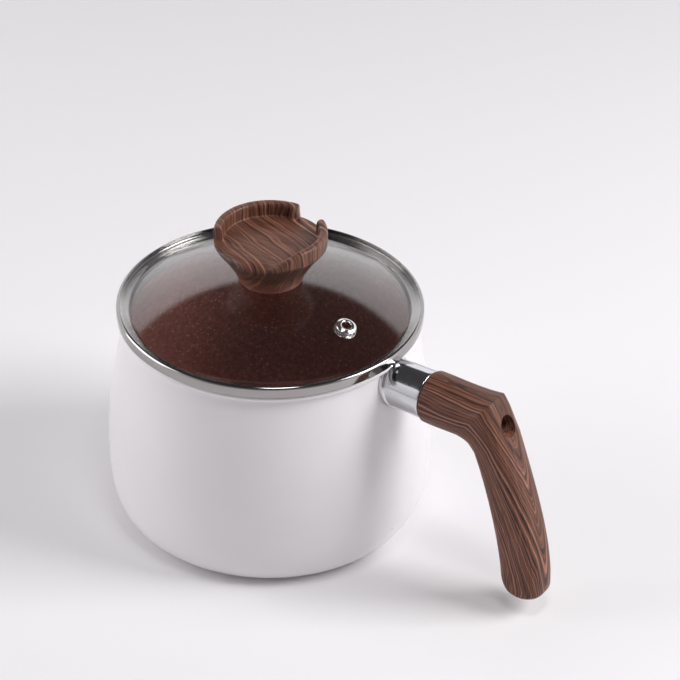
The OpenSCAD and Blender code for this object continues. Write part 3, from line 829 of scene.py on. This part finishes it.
class SAUCEPAN_OT_glass(bpy.types.Operator):
    """Turns the domed glass with its ground edge, and drills its vent"""
    bl_idname = "saucepan.glass"
    bl_label = "Glass"

    def execute(self, context):
        lid = looks()[2]
        dome = Dome(lid)
        low_z, ground, hub_edge = GLASS_BOX[0].z, 0.0015, 0.0004
        inner_r = math.sqrt((dome.ball_r - lid.glass_t) ** 2 - (low_z - dome.ball_z) ** 2)
        top = dome.arc(HUB_R + hub_edge, dome.edge_r)
        under = dome.arc(inner_r - 0.0002, HUB_R + hub_edge, lid.glass_t)
        rim = rounded_between([top[-1], (dome.glass_r, dome.flat_z, ground),
                               (dome.glass_r, low_z, ground), under[0]], 8)
        hub = rounded_between([under[-1], (HUB_R, dome.height(HUB_R, lid.glass_t), hub_edge),
                               (HUB_R, dome.height(HUB_R), hub_edge), top[0]], 4)
        glass = loose_object(spun(top + rim + under + hub), "domed_glass")
        drill = bmesh.new()
        place = vent_place(lid, dome) @ Matrix.Translation((0, 0, dome.ball_r))
        bmesh.ops.create_cone(drill, cap_ends=True, segments=FINE_STEPS, radius1=VENT_BORE,
                              radius2=VENT_BORE, depth=0.05, matrix=place)
        cut(glass, loose_object(drill, "vent_drill"))
        finished(glass, "lid", "tempered_glass", glass_finish(lid), "lid_glass", sharp=35)
        return {"FINISHED"}


class SAUCEPAN_OT_band(bpy.types.Operator):
    """Turns the rolled steel band with its bead, flange and locating skirt"""
    bl_idname = "saucepan.band"
    bl_label = "Lid band"

    def execute(self, context):
        pan, _, lid, _ = looks()
        band_z = LINING_BOX[1].z + 0.0001
        top, flat_z = BAND_BOX[1].z, GLASS_BOX[0].z + lid.glass_t
        out_r, sheet, bead = lid.band_r, lid.sheet, lid.bead
        skirt_r = pan.neck_r - pan.wall - pan.coat - 0.0005
        low_z, lean = BAND_BOX[0].z, 0.0014
        corners = [(out_r, band_z, 0.0007), (out_r, top, 0.0017), (out_r - bead, top, 0.00005),
                   (out_r - bead, flat_z + 0.0001, 0.0002), (out_r - sheet, flat_z + 0.0001, 0.0001),
                   (out_r - sheet, band_z + sheet, 0.0001), (skirt_r - sheet, band_z + sheet, 0.0005),
                   (skirt_r - sheet - lean, low_z, 0.00025), (skirt_r - lean, low_z, 0.00025),
                   (skirt_r, band_z, 0.0004)]
        band = loose_object(spun(outline(corners, 6)), "steel_band")
        # The steel's shade is darker than bare steel: its own colour with a painted reflection of dark
        # surroundings
        finish = metal_finish("band_steel", (0.38, 0.365, 0.36), 0.09, lathe=(25, 25, 2600),
                              grain=0.000008)
        finished(band, "lid", "band_steel", finish, "lid_band")
        return {"FINISHED"}


class SAUCEPAN_OT_vent(bpy.types.Operator):
    """Turns the vent's eyelet and the ring that it is clinched over"""
    bl_idname = "saucepan.vent"
    bl_label = "Steam vent"

    def execute(self, context):
        lid = looks()[2]
        dome = Dome(lid)
        face = dome.ball_r
        under = face - lid.glass_t
        hole, shank, flange, ring_r, crown = lid.vent_r, 0.0038, 0.0057, 0.0062, 0.0015
        low = under - 0.0008
        corners = [(hole, low - 0.0005, 0.0003), (shank + 0.0009, low - 0.0004, 0.0004),
                   (shank + 0.0005, low, 0.0002), (shank, low + 0.0006, 0.0003),
                   (shank, face - 0.0001), (flange, face - 0.0001, 0.0002),
                   (flange, face + 0.0006, 0.0005),
                   (hole + 0.0014, face + crown, 0.0008), (hole, face + crown - 0.0002, 0.0007)]
        eyelet = spun(outline(corners, 6), FINE_STEPS)
        bmesh.ops.transform(eyelet, matrix=vent_place(lid, dome), verts=eyelet.verts)
        finish = metal_finish("eyelet_steel", (0.80, 0.79, 0.79), 0.14, lathe=(60, 60, 60))
        finished(loose_object(eyelet, "steam_eyelet"), "lid", "band_steel", finish, "vent_eyelet")
        ring = outline([(VENT_BORE, low, 0.0002), (ring_r, low, 0.0003),
                        (ring_r, under - 0.0001, 0.0001), (VENT_BORE, under, 0.0001)], 4)
        washer = spun(ring, FINE_STEPS)
        bmesh.ops.transform(washer, matrix=vent_place(lid, dome), verts=washer.verts)
        finished(loose_object(washer, "clinch_ring"), "lid", "band_steel", finish, "vent_washer")
        return {"FINISHED"}


# ---------- knob ----------

# Where the slot and the spoon mouth start and end, and how far their changes reach, in degrees
SLOT = (56, 94)
SLOT_SOFT = 1.6
MOUTH = (217, 300)
MOUTH_ROLL, MOUTH_LEAD, MOUTH_FADE = 44, 10, 40
RAMP_LEAD, RAMP = 6, 52
ROUND_IN, ROUND_OUT = 30, 20
MOUTH_CONE = 0.745
CONE_POWER = 1.3
KNOB_STEPS = 540


def wall_height(angle):
    """How much of the knob's wall stands at an angle in degrees, from 0 to 1."""
    def step(at):
        return ease((angle - at) / SLOT_SOFT + 0.5)

    stands = 1 - step(SLOT[0]) + step(SLOT[1]) - step(MOUTH[0])
    ramp_start = MOUTH[1] - RAMP_LEAD
    return stands + ease((angle - ramp_start) / RAMP) if angle > ramp_start else stands


def mouth_share(angle):
    """How far the low rim rolls over into the cone at an angle in degrees, from 0 to 1."""
    fade = ease((angle - MOUTH[1] + MOUTH_LEAD) / MOUTH_FADE)
    return ease((angle - MOUTH[0]) / MOUTH_ROLL) * (1 - fade)


def round_share(angle):
    """How far the wall's top is a full round instead of a flat with small roundings."""
    if angle > MOUTH[0]:
        return ease((angle - MOUTH[0]) / ROUND_IN)
    return 1 - ease((angle - SLOT[0]) / ROUND_OUT)


class KnobCurve:
    """Three side views of the knob with matching points: full wall, slot floor and spoon mouth."""

    def __init__(self, knob):
        self.knob = knob
        self.height = KNOB_BOX[1].z - KNOB_BOX[0].z
        self.cone_h = knob.dish_h - 0.001

    def cone(self, top_share, steps=22):
        knob = self.knob
        return [point(mixed(knob.foot_r, knob.rim_r, u ** CONE_POWER), self.cone_h * u)
                for u in (i / steps * top_share for i in range(steps + 1))]

    def wall(self, edge):
        knob, h = self.knob, self.height
        dish_r, fillet = knob.rim_r - knob.wall, 0.0008
        inner_r = dish_r - 0.0002
        rise = [point(knob.rim_r, mixed(self.cone_h, h - edge, i / 8)) for i in range(1, 8)]
        crown = rounded_between([(knob.rim_r, self.cone_h), (knob.rim_r, h, edge), (dish_r, h, edge),
                                 (dish_r, knob.dish_h)], 7)
        fall = [point(inner_r, mixed(h - edge, knob.dish_h + fillet, i / 8)) for i in range(1, 9)]
        foot = [point(inner_r - fillet * (1 - math.cos(a)), knob.dish_h + fillet * (1 - math.sin(a)))
                for a in (math.pi / 2 * i / 4 for i in range(1, 5))]
        return rise + crown + fall + foot

    def slot(self, count):
        """The floor runs out level to a softly rounded edge."""
        knob = self.knob
        edge = 0.0012
        corner = rounded_between([(knob.rim_r, self.cone_h - 0.001), (knob.rim_r, knob.dish_h, edge),
                                  (knob.rim_r - 0.006, knob.dish_h)], 10)
        left = count - len(corner)
        start, end = knob.rim_r - edge, knob.rim_r - knob.wall - 0.001
        return corner + [point(mixed(start, end, (i + 1) / left), knob.dish_h) for i in range(left)]

    def mouth(self, count):
        """The floor rolls over into the cone, whose lean the roll takes up at its lower end."""
        knob = self.knob
        low = self.cone(MOUTH_CONE)[-1]
        slope = CONE_POWER * (knob.rim_r - knob.foot_r) * MOUTH_CONE ** (CONE_POWER - 1) / self.cone_h
        lean = math.atan(slope)
        roll = (knob.dish_h - low.y) / (1 + math.sin(lean))
        centre = low - roll * point(math.cos(lean), -math.sin(lean))
        flat, flat_len = 6, 0.002
        turned = count - flat
        arc = [centre + roll * point(math.cos(a), math.sin(a))
               for a in (mixed(-lean, math.pi / 2, (i + 1) / turned) for i in range(turned))]
        return arc + [point(arc[-1].x - flat_len * (i + 1) / flat, knob.dish_h) for i in range(flat)]


class SAUCEPAN_OT_knob(bpy.types.Operator):
    """Turns the knob and shapes its slot, its spoon mouth and the ramp of its short wall"""
    bl_idname = "saucepan.knob"
    bl_label = "Knob"

    def execute(self, context):
        _, handle, _, knob = looks()
        foot_z = KNOB_BOX[0].z
        curve = KnobCurve(knob)
        full_cone, low_cone = curve.cone(1.0), curve.cone(MOUTH_CONE)
        wall, round_wall = curve.wall(knob.edge), curve.wall(knob.wall / 2 - 0.0001)
        slot, mouth = curve.slot(len(wall)), curve.mouth(len(wall))
        floor_steps = 14
        bottom = [point(0, 0), point(knob.foot_r - 0.0006, 0)]

        def section(cone, side, inner):
            floor = [point(mixed(inner[-1].x, 0, (i / floor_steps) ** CONE_POWER), knob.dish_h)
                     for i in range(1, floor_steps + 1)]
            return bottom + cone + side + floor

        made = loose_object(self.turned(section(full_cone, wall, wall),
                                        section(full_cone, round_wall, wall),
                                        section(full_cone, slot, slot),
                                        section(low_cone, mouth, mouth), foot_z), "spoon_rest_knob")
        cut(made, self.bore(foot_z))
        finished(made, "lid", "knob_woodgrain", knob_finish(handle, foot_z), "lid_knob", sharp=50)
        return {"FINISHED"}

    def turned(self, full, rounded, open_slot, open_mouth, foot_z):
        """A full turn of the walled outline, with every point then moved to its own section."""
        bm = bmesh.new()
        station = bm.verts.layers.int.new("station")
        verts = [bm.verts.new((p.x, 0, p.y)) for p in full]
        for i, vert in enumerate(verts):
            vert[station] = i
        edges = [bm.edges.new(pair) for pair in zip(verts, verts[1:])]
        bmesh.ops.spin(bm, geom=verts + edges, cent=(0, 0, 0), axis=(0, 0, 1), angle=math.tau,
                       steps=KNOB_STEPS, use_merge=True, use_duplicate=False)
        for vert in bm.verts:
            angle = math.degrees(math.atan2(vert.co.y, vert.co.x)) % 360
            k = vert[station]
            low = open_slot[k].lerp(open_mouth[k], mouth_share(angle))
            tall = full[k].lerp(rounded[k], round_share(angle))
            spot = low.lerp(tall, wall_height(angle))
            turn = math.radians(angle)
            vert.co = (spot.x * math.cos(turn), spot.x * math.sin(turn), foot_z + spot.y)
        tidy(bm)
        smooth_h, smooth_r = 0.012, 0.018
        rough = [v for v in bm.verts
                 if v.co.z > foot_z + smooth_h and math.hypot(v.co.x, v.co.y) > smooth_r]
        bmesh.ops.smooth_vert(bm, verts=rough, factor=0.5, use_axis_x=True, use_axis_y=True,
                              use_axis_z=True)
        return bm

    def bore(self, foot_z):
        """The cutter of the insert's hole and of the screw's clearance."""
        insert_r, screw_r, low, insert_len, high = 0.0042, 0.0028, -0.002, 0.012, 0.015
        bm = spun([(0, low), (insert_r, low), (insert_r, insert_len), (screw_r, insert_len),
                   (screw_r, high), (0, high)], FINE_STEPS, closed=False)
        # A small turn keeps the cutter's corners off the knob's own
        off_corner = 0.0137
        place = Matrix.Translation((0, 0, foot_z)) @ Matrix.Rotation(off_corner, 4, "Z")
        bmesh.ops.transform(bm, matrix=place, verts=bm.verts)
        return loose_object(bm, "knob_drill")


class SAUCEPAN_OT_knob_seat(bpy.types.Operator):
    """Turns the silicone ring and gasket that seat the knob on the glass"""
    bl_idname = "saucepan.knob_seat"
    bl_label = "Knob seat"

    def execute(self, context):
        lid = looks()[2]
        dome = Dome(lid)
        out_r, in_r, foot_z = SEAT_BOX[1].x, 0.008, SEAT_BOX[1].z
        seat = outline([(in_r, dome.height(in_r)), *dome.arc(in_r + 0.001, out_r - 0.001, steps=6),
                        (out_r, dome.height(out_r), 0.0002), (out_r, foot_z, 0.0003),
                        (in_r, foot_z, 0.0002)], 4)
        finished(loose_object(spun(seat, FINE_STEPS), "knob_cushion"), "lid", "seat_silicone",
                 soft_finish("seat_silicone", (0.26, 0.085, 0.065)), "knob_seat_ring")
        gasket_r, low_z = GASKET_BOX[1].x, GASKET_BOX[0].z
        gasket = outline([(HUB_R, low_z, 0.0002), (gasket_r, low_z, 0.0004),
                          (gasket_r, dome.height(gasket_r, lid.glass_t), 0.0002),
                          *dome.arc(gasket_r - 0.001, HUB_R, lid.glass_t, 6)], 4)
        finished(loose_object(spun(gasket, FINE_STEPS), "glass_gasket"), "lid", "clear_silicone",
                 soft_finish("clear_silicone", (0.72, 0.72, 0.73), 0.35, clear=0.5), "knob_gasket")
        return {"FINISHED"}


class SAUCEPAN_OT_hardware(bpy.types.Operator):
    """Finishes the screws, washers, insert, seal and boss that keep their CAD shape"""
    bl_idname = "saucepan.hardware"
    bl_label = "Hardware"

    def execute(self, context):
        zinc = metal_finish("zinc_steel", (0.50, 0.50, 0.52), 0.28, lathe=(300, 300, 300),
                            grain=0.00003, tarnish=0.2)
        for node in ("handle_screw", "handle_spring_washer", "handle_flat_washer", "knob_spring_washer",
                     "knob_screw"):
            refinish(node, zinc)
        refinish("knob_cup_washer", turned_finish("cup_steel", (0.70, 0.69, 0.69), 0.2))
        refinish("knob_insert", metal_finish("insert_brass", (0.66, 0.47, 0.20), 0.25,
                                             lathe=(60, 60, 2400)))
        refinish("handle_boss", metal_finish("cast_aluminium", (0.62, 0.62, 0.63), 0.42,
                                             lathe=(400, 400, 400), grain=0.00006))
        refinish("ferrule_seal", soft_finish("dark_seal", (0.075, 0.030, 0.022), 0.55))
        return {"FINISHED"}


# ---------- stage ----------

CAMERA_AT = Vector((0.6996, -0.9808, 0.9137))
CAMERA_AIM = Vector((0.0196, 0.04075, 0.09257))
CAMERA_ROLL = math.radians(1.348)
CAMERA_LENS = 137.647
# Height on the sky from straight down to straight up, and its brightness there
AIR_STOPS = ((0.0, 1.10), (0.54, 1.15), (0.585, 0.07), (1.0, 0.05))
CAMERA_SIDE_AIR = 0.22
FLOOR_Z = -0.0001
# Name, place, aim, side of the square and power in watts
LAMPS = (("key", (1.25, 0.60, 1.20), (0, 0, 0.06), 0.8, 23),
         ("left_fill", (-1.3, -0.7, 0.7), (0, 0, 0.07), 1.2, 11),
         ("top", (0.35, -0.3, 1.7), (0.05, 0, 0), 0.4, 5))


def soft_lamp(name, at, aim, side, watts):
    data = bpy.data.lights.new(name, "AREA")
    data.shape = "SQUARE"
    data.size = side
    data.energy = watts
    lamp = bpy.data.objects.new(name, data)
    lamp.location = at
    lamp.rotation_mode = "QUATERNION"
    lamp.rotation_quaternion = (Vector(aim) - Vector(at)).to_track_quat("-Z", "Y")
    bpy.context.scene.collection.objects.link(lamp)


def studio_air():
    """Pale surroundings that end at a soft edge above, and are dimmer on the camera's side."""
    world = bpy.data.worlds.new("studio")
    world.use_nodes = True
    tree = world.node_tree
    nodes, links = tree.nodes, tree.links
    where = nodes.new("ShaderNodeTexCoord")
    parts = nodes.new("ShaderNodeSeparateXYZ")
    links.new(where.outputs["Generated"], parts.inputs["Vector"])
    ramp = nodes.new("ShaderNodeValToRGB")
    links.new(parts.outputs["Z"], ramp.inputs["Fac"])
    for i, (position, level) in enumerate(AIR_STOPS):
        stop = ramp.color_ramp.elements[i] if i < 2 else ramp.color_ramp.elements.new(position)
        stop.position, stop.color = position, (level, level * 0.985, level * 1.01, 1)
    toward = nodes.new("ShaderNodeVectorMath")
    toward.operation = "DOT_PRODUCT"
    links.new(where.outputs["Generated"], toward.inputs[0])
    toward.inputs[1].default_value = Vector((CAMERA_AT.x, CAMERA_AT.y, 0)).normalized()
    dim = nodes.new("ShaderNodeMapRange")
    dim.interpolation_type = "SMOOTHSTEP"
    links.new(toward.outputs["Value"], dim.inputs["Value"])
    for key, value in (("From Min", 0.1), ("From Max", 0.85), ("To Min", 1.0),
                       ("To Max", CAMERA_SIDE_AIR)):
        dim.inputs[key].default_value = value
    air = nodes["Background"]
    links.new(ramp.outputs["Color"], air.inputs["Color"])
    links.new(dim.outputs["Result"], air.inputs["Strength"])
    bpy.context.scene.world = world


class SAUCEPAN_OT_stage(bpy.types.Operator):
    """Sets up the camera, the pale floor and the soft lamps"""
    bl_idname = "saucepan.stage"
    bl_label = "Stage"

    def execute(self, context):
        camera = bpy.data.objects.new("camera", bpy.data.cameras.new("camera"))
        camera.data.lens = CAMERA_LENS
        camera.data.sensor_width = 36
        camera.data.clip_end = 50
        camera.location = CAMERA_AT
        camera.rotation_mode = "QUATERNION"
        camera.rotation_quaternion = ((CAMERA_AIM - CAMERA_AT).to_track_quat("-Z", "Y")
                                      @ Quaternion((0, 0, 1), CAMERA_ROLL))
        context.scene.collection.objects.link(camera)
        context.scene.camera = camera
        context.scene.view_settings.view_transform = "Standard"
        bm = bmesh.new()
        bmesh.ops.create_circle(bm, cap_ends=True, segments=96, radius=6,
                                matrix=Matrix.Translation((0, 0, FLOOR_Z)))
        ground = loose_object(bm, "studio_floor")
        fin = Finish("pale_floor")
        at = fin.place()
        fin.set(Base_Color=fin.mix(fin.noise(at, 3, 3), (0.87, 0.855, 0.87), (0.88, 0.865, 0.88)),
                Roughness=0.6, Normal=fin.bump(fin.noise(at, 500, 2), 0.0001, 0.3))
        ground.data.materials.append(fin.material)
        studio_air()
        for lamp in LAMPS:
            soft_lamp(*lamp)
        return {"FINISHED"}


# ---------- add-on ----------

PIECES = (SAUCEPAN_OT_stage, SAUCEPAN_OT_pan_shell, SAUCEPAN_OT_lining, SAUCEPAN_OT_base_plate,
          SAUCEPAN_OT_ferrule, SAUCEPAN_OT_grip, SAUCEPAN_OT_glass, SAUCEPAN_OT_band, SAUCEPAN_OT_vent,
          SAUCEPAN_OT_knob, SAUCEPAN_OT_knob_seat, SAUCEPAN_OT_hardware)
GROUPS = (PanLooks, HandleLooks, LidLooks, KnobLooks)


class SAUCEPAN_PT_sidebar(bpy.types.Panel):
    """Lists the saucepan's pieces"""
    bl_label = "Saucepan"
    bl_idname = "SAUCEPAN_PT_sidebar"
    bl_space_type = "VIEW_3D"
    bl_region_type = "UI"
    bl_category = "Saucepan"

    def draw(self, context):
        for piece in PIECES:
            self.layout.operator(piece.bl_idname)


def register():
    for kind in (*GROUPS, *PIECES, SAUCEPAN_PT_sidebar):
        bpy.utils.register_class(kind)
    scene = bpy.types.Scene
    scene.pan_looks = PointerProperty(type=PanLooks)
    scene.handle_looks = PointerProperty(type=HandleLooks)
    scene.lid_looks = PointerProperty(type=LidLooks)
    scene.knob_looks = PointerProperty(type=KnobLooks)


def unregister():
    scene = bpy.types.Scene
    del scene.pan_looks, scene.handle_looks, scene.lid_looks, scene.knob_looks
    for kind in reversed((*GROUPS, *PIECES, SAUCEPAN_PT_sidebar)):
        bpy.utils.unregister_class(kind)


def main():
    register()
    for piece in PIECES:
        group, name = piece.bl_idname.split(".")
        getattr(getattr(bpy.ops, group), name)()


if __name__ == "__main__":
    main()
